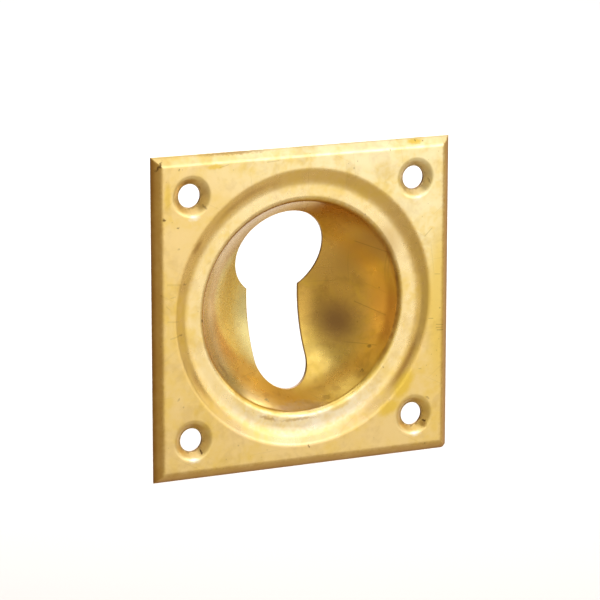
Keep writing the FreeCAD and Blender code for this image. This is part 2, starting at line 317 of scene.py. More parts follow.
def pressedPlate():
    # The whole sheet is one closed grid. Its columns run round the plate, and its rows run from the keyhole
    # out over the front, round the rim, back over the rear and through the keyhole again. A window in each
    # corner of the face leaves room for a dimple, a tube that runs through the screw hole.
    s, m = plateSizes, meshSizes
    angles = columnAngles()
    heading = np.stack([np.cos(angles), np.sin(angles)], axis=-1)
    square = heading / np.abs(heading).max(axis=1, keepdims=True)
    frontCorner, frontEdge, frontDisc = discRows(heading, 0)
    backCorner, backEdge, backDisc = discRows(heading, s["thickness"])
    bendAt, rim = rimRings(heading, square)

    # The flat face runs from a circle outside the ring to a square inside the rim.
    circlePlan = heading * (ringRadius() + m["holdingRow"])
    squarePlan = square * (bendAt - m["holdingRow"])
    parts = np.linspace(0, 1, m["faceRows"] + 1)
    facePlans = [circlePlan * (1 - part) + squarePlan * part for part in parts]
    frontFace = [ring(plan, -s["height"]) for plan in facePlans]
    backFace = [ring(plan, s["thickness"] - s["height"]) for plan in facePlans[::-1]]

    frontRows = [*roundedEdge(backCorner, frontCorner, frontEdge), *frontDisc]
    backRows = [*backDisc[::-1], *roundedEdge(backEdge, backCorner, frontCorner)]
    rows = [*frontRows, *frontFace, *rim, *backFace, *backRows]
    frontStart = len(frontRows)
    backStart = frontStart + len(frontFace) + len(rim)
    grid = np.stack(rows)
    index = np.arange(len(rows) * len(angles)).reshape(len(rows), len(angles))
    kept = np.ones(index.shape, bool)

    # A dimple's rings join the edges of its two windows. Each ring has as many points as a window's edge,
    # in the directions of those points from the hole's centre.
    dimple, bandFinish = dimpleSection()
    points, tubes = [grid.reshape(-1, 3)], []
    total = index.size
    windows = ((frontStart, frontStart + m["faceRows"]), (backStart + m["faceRows"], backStart))
    for corner in cornerAngles:
        near = np.searchsorted(angles, math.radians(corner - m["cornerWindow"]))
        far = np.searchsorted(angles, math.radians(corner + m["cornerWindow"]))
        frontLoop, backLoop = [windowLoop(index, near, far, *window) for window in windows]
        for window in windows:
            kept[min(window):max(window), near:far] = False
        middle = screwPlace() * np.sign(heading[near])
        across = unit(points[0][frontLoop][:, [0, 2]] - middle)
        tube = np.concatenate([ring(middle + across * radius, depth) for radius, depth in dimple])
        number = total + np.arange(len(tube)).reshape(len(dimple), -1)
        total += number.size
        points.append(tube)
        tubes.append(np.concatenate([frontLoop[None], number, backLoop[None]]))
    faces = [quads(index, closed=True)[kept], *[quads(tube).reshape(-1, 4) for tube in tubes]]

    # The back starts at the last bend of the rim, and the keyhole's cut edge is where the rows meet.
    rowFinish = np.full(index.shape, finishes["front"])
    rowFinish[backStart - m["rimRows"] - 1:-3] = finishes["back"]
    rowFinish[[0, -3, -2, -1]] = finishes["cut"]
    finish = [rowFinish[kept], *[np.repeat(bandFinish, tube.shape[1]) for tube in tubes]]
    return np.concatenate(points), np.concatenate(faces), np.concatenate(finish)


def meshPiece(name, points, faces, finish):
    # A smooth mesh of quads from points in millimetres: metres = millimetres / 1000.
    mesh = bpy.data.meshes.new(name)
    mesh.vertices.add(len(points))
    mesh.vertices.foreach_set("co", (points / 1000).astype(np.float32).ravel())
    mesh.loops.add(faces.size)
    mesh.loops.foreach_set("vertex_index", faces.astype(np.int32).ravel())
    mesh.polygons.add(len(faces))
    mesh.polygons.foreach_set("loop_start", np.arange(0, faces.size, 4, dtype=np.int32))
    mesh.polygons.foreach_set("use_smooth", np.ones(len(faces), bool))
    mesh.polygons.foreach_set("material_index", finish.astype(np.int32))
    mesh.update(calc_edges=True)
    mesh.validate()
    piece = bpy.data.objects.new(name, mesh)
    bpy.context.collection.objects.link(piece)
    return piece


plate = meshPiece("pressed_plate", *pressedPlate())
print("plate made,", len(plate.data.polygons), "faces")


def addNode(tree, kind, inputs=(), **settings):
    # One shader node with its settings and inputs. An input is a value, or the output that feeds it.
    node = tree.nodes.new("ShaderNode" + kind)
    for setting, value in settings.items():
        setattr(node, setting, value)
    for socket, value in dict(inputs).items():
        if isinstance(value, bpy.types.NodeSocket):
            tree.links.new(value, node.inputs[socket])
        else:
            node.inputs[socket].default_value = value
    return node


def mathNode(tree, operation, *values):
    # One step of arithmetic on numbers.
    return addNode(tree, "Math", enumerate(values), operation=operation).outputs[0]


def vectorNode(tree, operation, *values):
    # One step of arithmetic on vectors. A length or a dot product comes out as a number.
    node = addNode(tree, "VectorMath", enumerate(values), operation=operation)
    return node.outputs["Value" if operation in ("LENGTH", "DOT_PRODUCT") else "Vector"]


def shrunk(tree, vector, factor):
    # The vector x the factor.
    return addNode(tree, "VectorMath", {0: vector, "Scale": factor}, operation="SCALE").outputs[0]


def flatLength(tree, vector):
    # How long the vector is seen from the front: the root of (across squared + up squared).
    return vectorNode(tree, "LENGTH", vectorNode(tree, "MULTIPLY", vector, (1, 0, 1)))


def softStep(tree, value, low, high):
    # 0 below the low value, 1 above the high one, smooth between them. It falls where high is the lower.
    inputs = {"Value": value, "From Min": low, "From Max": high}
    return addNode(tree, "MapRange", inputs, interpolation_type="SMOOTHSTEP").outputs["Result"]


def scaled(tree, value, factor, base):
    # factor x value + base.
    return mathNode(tree, "MULTIPLY_ADD", value, factor, base)


def product(tree, first, *others):
    # All the values multiplied together.
    for value in others:
        first = mathNode(tree, "MULTIPLY", first, value)
    return first


def largest(tree, first, *others):
    # The largest of the values.
    for value in others:
        first = mathNode(tree, "MAXIMUM", first, value)
    return first


def band(tree, value, rise, fall):
    # A soft step up x a soft step down.
    return product(tree, softStep(tree, value, *rise), softStep(tree, value, *fall))


def mixColours(tree, amount, first, second):
    # first x (1 - amount) + second x amount.
    return addNode(tree, "Mix", {0: amount, 6: first, 7: second}, data_type="RGBA").outputs[2]


def noiseLevel(tree, position, scale, detail):
    # Noise from 0 to 1 with waves 1 / scale millimetres wide.
    return addNode(tree, "TexNoise", {"Vector": position, "Scale": scale, "Detail": detail}).outputs["Fac"]


def newGroup(name, inputs):
    # A node group that turns a position, in millimetres, and these inputs into one mask.
    group = bpy.data.node_groups.new(name, "ShaderNodeTree")
    group.interface.new_socket("Position", in_out="INPUT", socket_type="NodeSocketVector")
    for socket, value in inputs.items():
        kind = "NodeSocketFloat" if isinstance(value, (int, float)) else "NodeSocketVector"
        group.interface.new_socket(socket, in_out="INPUT", socket_type=kind).default_value = value
    group.interface.new_socket("Mask", in_out="OUTPUT", socket_type="NodeSocketFloat")
    return group, group.nodes.new("NodeGroupInput").outputs, group.nodes.new("NodeGroupOutput").inputs["Mask"]


def patchesGroup():
    # Blotches: noise moved by a seed, cut softly at the level that leaves the wanted cover, 1 - cover.
    inputs = {"Size": 10.0, "Cover": 0.5, "Softness": 0.1, "Seed": 0.0, "Detail": 4.0}
    group, given, mask = newGroup("tarnishPatches", inputs)
    moved = vectorNode(group, "ADD", given["Position"], given["Seed"])
    scale = mathNode(group, "DIVIDE", 1, given["Size"])
    shape = {"Vector": moved, "Scale": scale, "Detail": given["Detail"], "Roughness": 0.6, "Distortion": 0.3}
    noise = addNode(group, "TexNoise", shape)
    level = mathNode(group, "SUBTRACT", 1, given["Cover"])
    low = mathNode(group, "SUBTRACT", level, given["Softness"])
    high = mathNode(group, "ADD", level, given["Softness"])
    group.links.new(softStep(group, noise.outputs["Fac"], low, high), mask)
    return group


def keptCells(group, cells, share):
    # The cells of a random pattern whose first random number is below the share to keep.
    pick = addNode(group, "SeparateColor", {"Color": cells.outputs["Color"]}).outputs
    return mathNode(group, "LESS_THAN", pick["Red"], share), pick["Green"]


def specksGroup():
    # Specks: round spots in the kept cells of a random pattern, each the size x a random number across,
    # solid up to 0.4 of that and soft from there.
    group, given, mask = newGroup("darkSpecks", {"Spacing": 3.0, "Size": 0.3, "Share": 0.3, "Seed": 0.0})
    moved = vectorNode(group, "ADD", given["Position"], given["Seed"])
    scale = mathNode(group, "DIVIDE", 1, given["Spacing"])
    cells = addNode(group, "TexVoronoi", {"Vector": moved, "Scale": scale})
    kept, random = keptCells(group, cells, given["Share"])
    reach = mathNode(group, "DIVIDE", product(group, given["Size"], random), given["Spacing"])
    spot = softStep(group, cells.outputs["Distance"], reach, product(group, reach, 0.4))
    group.links.new(product(group, spot, kept), mask)
    return group


def scratchesGroup():
    # Scratches: spots in the kept cells, pulled out along one direction, which makes them thin ellipses.
    # The position is turned, then divided by four lengths along and four widths across.
    inputs = {"Angle": 0.0, "Length": 6.0, "Width": 0.15, "Share": 0.3, "Seed": 0.0}
    group, given, mask = newGroup("fineScratches", inputs)
    turning = {"Vector": given["Position"], "Angle": given["Angle"]}
    turned = addNode(group, "VectorRotate", turning, rotation_type="Y_AXIS").outputs[0]
    across = mathNode(group, "DIVIDE", 0.25, given["Width"])
    along = mathNode(group, "DIVIDE", 0.25, given["Length"])
    stretch = addNode(group, "CombineXYZ", {"X": along, "Y": along, "Z": across}).outputs[0]
    pulled = vectorNode(group, "ADD", vectorNode(group, "MULTIPLY", turned, stretch), given["Seed"])
    cells = addNode(group, "TexVoronoi", {"Vector": pulled, "Scale": 1})
    kept = keptCells(group, cells, given["Share"])[0]
    line = softStep(group, cells.outputs["Distance"], 0.25, 0.1)
    group.links.new(product(group, line, kept), mask)
    return group


def brushGroup():
    # Brush lines: noise squeezed hard across the brushing and left long along it.
    group, given, mask = newGroup("brushLines", {"Stretch": (0.12, 1.0, 4.0), "Seed": 0.0})
    pulled = vectorNode(group, "MULTIPLY", given["Position"], given["Stretch"])
    group.links.new(noiseLevel(group, vectorNode(group, "ADD", pulled, given["Seed"]), 1, 1), mask)
    return group


def stainGroup():
    # A stain: the distance from its middle, measured along its own two directions and divided by its half
    # widths, so that the edge is at 1. It is full from 1 - fade inwards.
    inputs = {"Middle": (0, 0, 0), "Reach": (1, 1, 1), "Turn": 0.0, "Fade": 0.6}
    group, given, mask = newGroup("roundStain", inputs)
    offset = vectorNode(group, "SUBTRACT", given["Position"], given["Middle"])
    turning = {"Vector": offset, "Angle": given["Turn"]}
    turned = addNode(group, "VectorRotate", turning, rotation_type="Y_AXIS").outputs[0]
    distance = flatLength(group, vectorNode(group, "DIVIDE", turned, given["Reach"]))
    full = mathNode(group, "SUBTRACT", 1, given["Fade"])
    group.links.new(softStep(group, distance, 1, full), mask)
    return group


def scratchGroup():
    # A scratch from one point to another: the distance to the nearest point of the line between them, which
    # is at the share offset.span / span.span of the way, from 0 to 1.
    group, given, mask = newGroup("singleScratch", {"From": (0, 0, 0), "To": (1, 0, 0), "Width": 0.15})
    span = vectorNode(group, "SUBTRACT", given["To"], given["From"])
    offset = vectorNode(group, "SUBTRACT", given["Position"], given["From"])
    offset = vectorNode(group, "MULTIPLY", offset, (1, 0, 1))
    squared = vectorNode(group, "DOT_PRODUCT", span, span)
    ahead = mathNode(group, "DIVIDE", vectorNode(group, "DOT_PRODUCT", offset, span), squared)
    share = addNode(group, "Clamp", {"Value": ahead}).outputs[0]
    away = vectorNode(group, "LENGTH", vectorNode(group, "SUBTRACT", offset, shrunk(group, span, share)))
    group.links.new(softStep(group, away, given["Width"], product(group, given["Width"], 0.3)), mask)
    return group


brassGroups = {
    "patches": patchesGroup(),
    "specks": specksGroup(),
    "scratches": scratchesGroup(),
    "brush": brushGroup(),
    "stain": stainGroup(),
    "scratch": scratchGroup(),
}
print("groups made")


def placed(tree, group, position, inputs):
    # One use of a group in a material, with its own values.
    given = {"Position": position, **inputs}
    return addNode(tree, "Group", given, node_tree=brassGroups[group]).outputs["Mask"]


# The front as years of use left it, with some light and shade painted into its colours. Colours are the
# metal's own except where marked as painted, and lengths are in millimetres.
frontBrass = {
    "colours": {
        "ring": (0.87, 0.60, 0.205, 1),
        # Painted light: the ring is creamier low down, and the land is paler all round and palest low down.
        "lowRing": (0.80, 0.58, 0.26, 1),
        "land": (0.94, 0.75, 0.375, 1),
        "satin": (0.89, 0.66, 0.27, 1),  # flat face
        "paintedSheen": (0.96, 0.82, 0.45, 1),  # painted sheen, paler towards the top right of the face
        "glint": (0.96, 0.86, 0.62, 1),  # painted glint, the palest highlights
        "bowl": (0.79, 0.49, 0.115, 1),
        # A painted highlight low on the right of the bowl and at its foot.
        "lowBowl": (0.98, 0.70, 0.18, 1),
        "lemon": (0.98, 0.90, 0.43, 1),  # left of the bowl: painted highlight
        "wall": (0.70, 0.43, 0.17, 1),  # left of the bowl, near its mouth: painted shade
        "straw": (0.84, 0.575, 0.08, 1),  # thin yellow tarnish
        "brown": (0.42, 0.22, 0.05, 1),  # thick tarnish
        # On the rim, patchy tarnish with painted shade; it also tints the screw holes' dimples.
        "rimBrown": (0.58, 0.335, 0.08, 1),
        # Painted shade in the creases and at the bowl's mouth; along the outer edge, dirt and painted shade.
        "crease": (0.34, 0.145, 0.03, 1),
        # A painted dark reflection in the bowl.
        "paintedBowlReflection": (0.28, 0.155, 0.06, 1),
        "dirt": (0.15, 0.075, 0.018, 1),
    },
    # Where each zone starts and where it is full.
    "zones": {
        "flat": (25.4, 26.8),  # by the distance from the middle
        "land": (24.2, 22.6),
        "bowl": (20.9, 19.9),
        "wall": (12.6, 14.4),
        # Painted shade in the ring's crease, at the bowl's mouth and just inside it.
        "arcs": ((23.7, 24.5), (25.4, 24.6)),
        "mouth": ((19.3, 19.8), (20.4, 19.95)),
        "lip": ((18.3, 19.2), (20.0, 19.6)),
        "rim": (27.7, 29.1),  # by the way across or up, whichever is longer
        # Along the outer edge, dirt and painted shade, wider except along the top.
        "edge": (29.7, 30.0),
        "lowEdgeShade": (29.1, 30.0),
        "topRim": (-0.4, 0.4),  # by the way up less the way across
        "rightRim": (28.2, 29.2),  # by the way to the right
        "rightBowl": (-9, 3),
        "rightMouth": (2, 17),
        # Painted highlights low on the ring and the land.
        "lowRing": (-13, -22),  # by the way up
        "lowLand": (-14, -21),
        # A painted highlight low in the bowl, and painted shade on its left below the mouth.
        "lowBowl": (-2, -12),
        "bowlFoot": (-9.5, -16),
        "wallFoot": (-16, -8),
        "mouthFoot": (-15, -9),
        "paintedSheen": (2, 29),  # by the way up plus the slant x the way to the right
        "seat": (3.6, 2.5),  # by the distance from the nearest screw hole's centre
        "holeEdge": (2.6, 2.2),
    },
    "slant": 0.8,
    "wander": 0.9,  # how far noise moves the edges of the zones
    "wanderScale": 1.6,
    # The inputs of the groups.
    "straw": {"Size": 9, "Cover": 0.50, "Softness": 0.14, "Seed": 3.0},
    "fineStraw": {"Size": 1.4, "Cover": 0.5, "Softness": 0.25, "Seed": 11.0, "Detail": 1.0},
    "brown": {"Size": 3.5, "Cover": 0.42, "Softness": 0.12, "Seed": 7.0, "Detail": 3.0},
    "clouds": {"Size": 4, "Cover": 0.6, "Softness": 0.25, "Seed": 5.0},  # on the rim
    "specks": {"Spacing": 2.6, "Size": 0.32, "Share": 0.22, "Seed": 1.0},
    "fineSpecks": {"Spacing": 1.1, "Size": 0.2, "Share": 0.15, "Seed": 9.0},
    "scratches": {"Length": 5.0, "Width": 0.11, "Share": 0.12},
    "scratchTurns": (4, 38, 97, 152),
    "brushing": {"Stretch": (0.15, 1.0, 5.0)},
    # How strong a mark is: a plain strength, or a factor on another mask and what is added to it.
    "wallStrength": 0.8,
    "strawStrength": (0.4, 0.2),  # by the fine straw
    "strawInBowl": (-0.9, 1),  # by the left of the bowl
    "brownStrength": (0.12, 0.17),  # by the rest of the bowl
    # Painted shade on the rim's lower and side slopes, most on the right, with patchy tarnish.
    "rimStrength": (0.3, 0.6),  # by the clouds
    "rightRimStrength": 0.3,
    "mouthStrength": (0.3, 0.35),  # by the way to the right
    "mouthCover": (0.5, 0.75),  # by the fine straw
    "edgeStrength": (0.4, 0.4),  # by the clouds
    "edgeOnTop": (-0.6, 1),  # by the top rim
    "seatStrength": 0.45,
    "holeStrength": 0.5,
    "speckStrength": 0.35,
    "fineSpeckStrength": 0.25,
    "scratchStrength": (0.05, 0.08),  # by the bowl
    "dirtMetallic": (-0.12, 1),  # by the dirt
    "roughness": 0.27,
    "satinRoughness": 0.06,  # added on the flat face
    "tarnishRoughness": 0.10,
    "dirtRoughness": 0.3,
    "grainRoughness": 0.08,
    "grainScale": 0.8,
    # The scale of the bumps, and their heights.
    "waveScale": 0.16,
    "waveHeight": 0.035,
    "rippleScale": 0.9,
    "rippleHeight": 0.0025,
    "brushHeight": 0.0003,
}

# Single marks: middle across and up, half widths, turn in degrees, strength.
frontStains = {
    "straw": [
        (-18.0, 27.7, 2.6, 0.7, 0, 0.8), (22.6, 29.4, 2.4, 0.8, 0, 0.9),
        (20.4, -16.6, 2.4, 5.2, -35, 0.95), (17.4, -20.6, 3.8, 2.0, 22, 0.9),
        (7.6, -19.4, 3.4, 1.1, 18, 0.7), (-27.3, 22.8, 1.1, 4.0, 0, 0.7),
        (28.0, -2.0, 4.5, 24.0, 0, 0.75),
    ],
    # Painted glints below the four screw holes, and a painted highlight on the bowl's lower lip.
    "paintedSheen": [
        (-22.1, 18.7, 1.6, 0.75, 0, 1.0), (-22.3, -26.3, 1.6, 0.75, 0, 1.0),
        (23.0, 18.8, 1.6, 0.75, 0, 1.0), (23.0, -26.3, 1.6, 0.75, 0, 1.0),
        (0.0, -19.2, 7.0, 1.1, 0, 0.9),
    ],
    "brown": [
        (-21.4, 13.2, 0.9, 2.2, -35, 0.6), (15.5, 9.0, 5.5, 9.0, -40, 0.45),
        (18.2, 1.0, 2.6, 8.0, -5, 0.35), (24.8, -24.8, 1.0, 0.7, 0, 0.7),
        (12.9, -14.2, 1.6, 0.8, 35, 0.35), (8.2, -16.8, 1.1, 0.6, 20, 0.3),
        (-7.1, -20.3, 3.0, 0.5, -20, 0.6), (-1.0, -21.1, 5.5, 0.45, 0, 0.5),
        (-14.3, -11.2, 2.6, 0.5, -50, 0.5), (-9.4, -16.2, 4.0, 0.9, -30, 0.45),
        (-12.6, 15.6, 5.0, 0.32, 39, 0.4), (-14.5, 29.8, 11.0, 0.45, 0, 0.6),
    ],
    # A painted dark reflection in the bowl's lower right.
    "paintedBowlReflection": [(11.6, -5.6, 6.4, 7.2, 0, 0.95)],
    # How strong the painted shade is in the ring's crease and just inside the bowl's mouth.
    "arcs": [
        (21.4, -12.6, 7.5, 7.5, 0, 0.62), (-21.2, -12.4, 5.0, 5.0, 0, 0.35),
        (-12.2, 21.2, 9.0, 9.0, 0, 0.3),
    ],
    "lip": [(18.5, -4.0, 8.5, 9.5, 0, 0.65)],
    "dirt": [
        (-28.0, 18.75, 0.42, 0.42, 0, 0.8), (-25.3, 17.15, 0.3, 0.25, 0, 0.6),
        (-25.1, 27.7, 0.22, 0.22, 0, 0.5), (-20.0, 20.5, 0.7, 0.35, -40, 0.5),
        (-20.8, -24.85, 0.22, 0.55, 15, 1.0), (25.1, -24.1, 0.45, 0.36, 30, 1.0),
        (25.6, 21.8, 0.3, 0.6, 10, 0.5), (-20.1, -0.7, 0.32, 0.35, 0, 0.7),
        (-23.9, 6.6, 0.5, 0.25, 0, 0.4), (-24.7, -2.7, 0.6, 0.25, 10, 0.45),
        (25.4, -19.6, 0.6, 0.3, -30, 0.4), (5.95, -18.1, 1.2, 0.35, 15, 0.3),
        (-6.0, -17.6, 0.6, 0.25, -20, 0.6), (0.8, -26.1, 0.16, 0.5, 20, 0.8),
        (17.2, 28.3, 0.2, 0.3, 0, 0.4), (10.6, 26.8, 0.18, 0.25, 0, 0.35),
        (22.9, 29.5, 0.2, 0.2, 0, 0.6), (24.2, 29.4, 0.2, 0.2, 0, 0.6),
        (12.8, 16.5, 0.22, 0.22, 0, 0.5), (16.7, -13.0, 0.28, 0.22, 0, 0.5),
        (23.9, -13.8, 0.45, 0.16, 0, 0.4), (-25.2, 13.2, 0.3, 0.3, 0, 0.3),
        (-25.5, -14.6, 0.35, 0.25, 0, 0.3), (-24.6, -16.0, 0.3, 0.2, 0, 0.3),
        (-28.8, 28.4, 0.35, 1.6, -35, 0.8), (15.5, -9.6, 0.45, 0.3, 40, 0.5),
        (13.3, -13.7, 0.65, 0.18, 50, 0.45), (17.8, -3.6, 0.7, 0.6, 0, 0.13),
    ],
}
# How much of its half width each kind of mark fades over.
stainFades = {"straw": 0.7, "paintedSheen": 0.9, "brown": 0.8, "paintedBowlReflection": 0.95, "arcs": 0.7, "lip": 0.7, "dirt": 0.7}

# Single scratches: across and up where they start and where they end, width, strength.
frontScratches = [
    (14.6, -1.8, 18.4, -3.7, 0.13, 0.28), (12.2, -9.3, 16.4, -9.3, 0.12, 0.22),
    (13.4, 10.3, 17.8, 8.7, 0.13, 0.25), (-7.7, 27.8, -5.4, 27.9, 0.13, 0.2),
    (-17.1, 27.5, -15.3, 27.9, 0.1, 0.25), (-27.4, 6.9, -25.0, 6.7, 0.3, 0.10),
    (-26.8, 4.4, -25.9, 4.6, 0.14, 0.16), (-27.7, 2.9, -27.0, 2.3, 0.12, 0.16),
    (-27.4, 0.1, -25.3, -0.1, 0.22, 0.12), (-26.9, -3.1, -25.0, -2.7, 0.2, 0.16),
    (27.2, -5.6, 28.8, -5.8, 0.11, 0.35), (27.2, -6.2, 28.8, -6.3, 0.11, 0.3),
    (27.4, -6.7, 28.8, -6.8, 0.11, 0.4), (25.6, -4.3, 26.5, -4.4, 0.11, 0.35),
    (26.8, 4.1, 27.8, 4.0, 0.11, 0.25), (24.6, 11.5, 26.1, 12.9, 0.11, 0.25),
]


def stainMask(tree, position, kind):
    # The largest of these stains' masks x their strengths.
    masks = []
    for across, up, wide, high, turn, strength in frontStains[kind]:
        inputs = {"Middle": (across, 0, up), "Reach": (wide, 1, high), "Turn": math.radians(turn)}
        stain = placed(tree, "stain", position, {**inputs, "Fade": stainFades[kind]})
        masks.append(product(tree, stain, strength))
    return largest(tree, *masks)


def newBrass(name):
    # A new material, its nodes, and the place on the piece in millimetres: metres x 1000.
    material = bpy.data.materials.new(name)
    material.use_nodes = True
    tree = material.node_tree
    objectSpace = addNode(tree, "TexCoord").outputs["Object"]
    return material, tree, vectorNode(tree, "MULTIPLY", objectSpace, (1000, 1000, 1000))


def finishBrass(tree, colour, metallic, roughness, height):
    # Feeds the shader. The height is in millimetres, and the bump's distance makes it metres.
    bump = addNode(tree, "Bump", {"Height": height, "Distance": 0.001, "Strength": 1.0}).outputs[0]
    shader = tree.nodes["Principled BSDF"]
    tree.links.new(colour, shader.inputs["Base Color"])
    tree.links.new(metallic, shader.inputs["Metallic"])
    tree.links.new(roughness, shader.inputs["Roughness"])
    tree.links.new(bump, shader.inputs["Normal"])


def frontPlaces(tree, position):
    # Masks of the front's zones. Most read a position that noise has moved, so their edges wander: the
    # noise less a half, x the wander.
    z = frontBrass["zones"]
    noiseInputs = {"Vector": position, "Scale": frontBrass["wanderScale"], "Detail": 3}
    noise = addNode(tree, "TexNoise", noiseInputs).outputs["Color"]
    shift = shrunk(tree, vectorNode(tree, "SUBTRACT", noise, (0.5, 0.5, 0.5)), frontBrass["wander"])
    ragged = vectorNode(tree, "ADD", position, shift)
    radius = flatLength(tree, ragged)
    parts = addNode(tree, "SeparateXYZ", {0: ragged}).outputs
    across, up = parts["X"], parts["Z"]
    reachAcross, reachUp = mathNode(tree, "ABSOLUTE", across), mathNode(tree, "ABSOLUTE", up)
    topRim = softStep(tree, mathNode(tree, "SUBTRACT", up, reachAcross), *z["topRim"])
    rim = softStep(tree, largest(tree, reachAcross, reachUp), *z["rim"])
    bowl = softStep(tree, radius, *z["bowl"])
    bowlSide = largest(tree, softStep(tree, across, *z["rightBowl"]), softStep(tree, up, *z["bowlFoot"]))
    deepBowl = product(tree, bowl, bowlSide)
    return {
        "ragged": ragged,
        "radius": radius,
        "across": across,
        "up": up,
        "reachAcross": reachAcross,
        "reachUp": reachUp,
        "flat": softStep(tree, radius, *z["flat"]),
        "topRim": topRim,
        "lowRim": product(tree, rim, mathNode(tree, "SUBTRACT", 1, topRim)),
        "bowl": bowl,
        "bowlSide": bowlSide,
        "deepBowl": deepBowl,
        "leftBowl": mathNode(tree, "SUBTRACT", bowl, deepBowl),
    }


def metalColourWithPaintedLight(tree, at):
    # The metal's colour, from the ring out to the face and in to the land and the bowl, with painted sheens,
    # highlights and shade in it.
    c, z = frontBrass["colours"], frontBrass["zones"]
    # A painted sheen that grows towards the top right of the face.
    slanted = scaled(tree, at["across"], frontBrass["slant"], at["up"])
    paintedSheen = product(tree, softStep(tree, slanted, *z["paintedSheen"]), at["flat"])
    # Painted highlight: the ring is creamier low down.
    ringColour = mixColours(tree, softStep(tree, at["up"], *z["lowRing"]), c["ring"], c["lowRing"])
    colour = mixColours(tree, at["flat"], ringColour, c["satin"])
    colour = mixColours(tree, paintedSheen, colour, c["paintedSheen"])
    # Painted sheen: the land is paler all round, and palest low down, where it takes the glint colour.
    landColour = mixColours(tree, softStep(tree, at["up"], *z["lowLand"]), c["land"], c["glint"])
    colour = mixColours(tree, softStep(tree, at["radius"], *z["land"]), colour, landColour)
    # In the bowl: painted highlights low on the right, at the foot and on the left, with a band of painted
    # shade below the mouth on the left.
    rightColour = mixColours(tree, softStep(tree, at["up"], *z["lowBowl"]), c["bowl"], c["lowBowl"])
    wall = product(tree, softStep(tree, at["radius"], *z["wall"]), frontBrass["wallStrength"])
    wall = product(tree, wall, softStep(tree, at["up"], *z["wallFoot"]))
    leftColour = mixColours(tree, wall, c["lemon"], c["wall"])
    bowlColour = mixColours(tree, at["bowlSide"], leftColour, rightColour)
    colour = mixColours(tree, at["bowl"], colour, bowlColour)
    # Painted glints below the screw holes and on the bowl's lower lip.
    return mixColours(tree, stainMask(tree, at["ragged"], "paintedSheen"), colour, c["glint"])


def creaseMask(tree, position, at, clouds, fineStraw):
    # Along the sheet's outer edge it is dirt and painted shade, wider and stronger except along the top.
    # Painted shade in lines along the bowl's mouth, most of all on the right, and in the ring's crease.
    # They are bands of the exact distance from the middle, or of the longer way across or up.
    v, z = frontBrass, frontBrass["zones"]
    radius = flatLength(tree, position)
    rightward = scaled(tree, softStep(tree, at["across"], *z["rightMouth"]), *v["mouthStrength"])
    mouth = product(tree, band(tree, radius, *z["mouth"]), rightward)
    mouth = product(tree, mouth, softStep(tree, at["up"], *z["mouthFoot"]))
    mouth = product(tree, mouth, scaled(tree, fineStraw, *v["mouthCover"]))
    parts = addNode(tree, "SeparateXYZ", {0: vectorNode(tree, "ABSOLUTE", position)}).outputs
    reach = largest(tree, parts["X"], parts["Z"])
    lowEdgeShade = product(tree, softStep(tree, reach, *z["lowEdgeShade"]), at["lowRim"])
    edge = largest(tree, softStep(tree, reach, *z["edge"]), lowEdgeShade)
    edge = product(tree, edge, scaled(tree, clouds, *v["edgeStrength"]))
    edge = product(tree, edge, scaled(tree, at["topRim"], *v["edgeOnTop"]))
    arcs = product(tree, band(tree, radius, *z["arcs"]), stainMask(tree, position, "arcs"))
    lip = product(tree, band(tree, radius, *z["lip"]), stainMask(tree, position, "lip"))
    return largest(tree, mouth, edge, arcs, lip)


def dirtMask(tree, position, at, screwReach):
    # The largest of the hole edges', specks', stains' and scratches' masks x their strengths.
    v = frontBrass
    marks = [
        product(tree, softStep(tree, screwReach, *v["zones"]["holeEdge"]), v["holeStrength"]),
        product(tree, placed(tree, "specks", position, v["specks"]), v["speckStrength"]),
        product(tree, placed(tree, "specks", position, v["fineSpecks"]), v["fineSpeckStrength"]),
        stainMask(tree, at["ragged"], "dirt"),
    ]
    for fromAcross, fromUp, toAcross, toUp, width, strength in frontScratches:
        inputs = {"From": (fromAcross, 0, fromUp), "To": (toAcross, 0, toUp), "Width": width}
        marks.append(product(tree, placed(tree, "scratch", position, inputs), strength))
    scratches = [
        placed(tree, "scratches", position, {**v["scratches"], "Angle": math.radians(turn), "Seed": turn / 7})
        for turn in v["scratchTurns"]
    ]
    strength = scaled(tree, at["bowl"], *v["scratchStrength"])
    return largest(tree, *marks, product(tree, largest(tree, *scratches), strength))


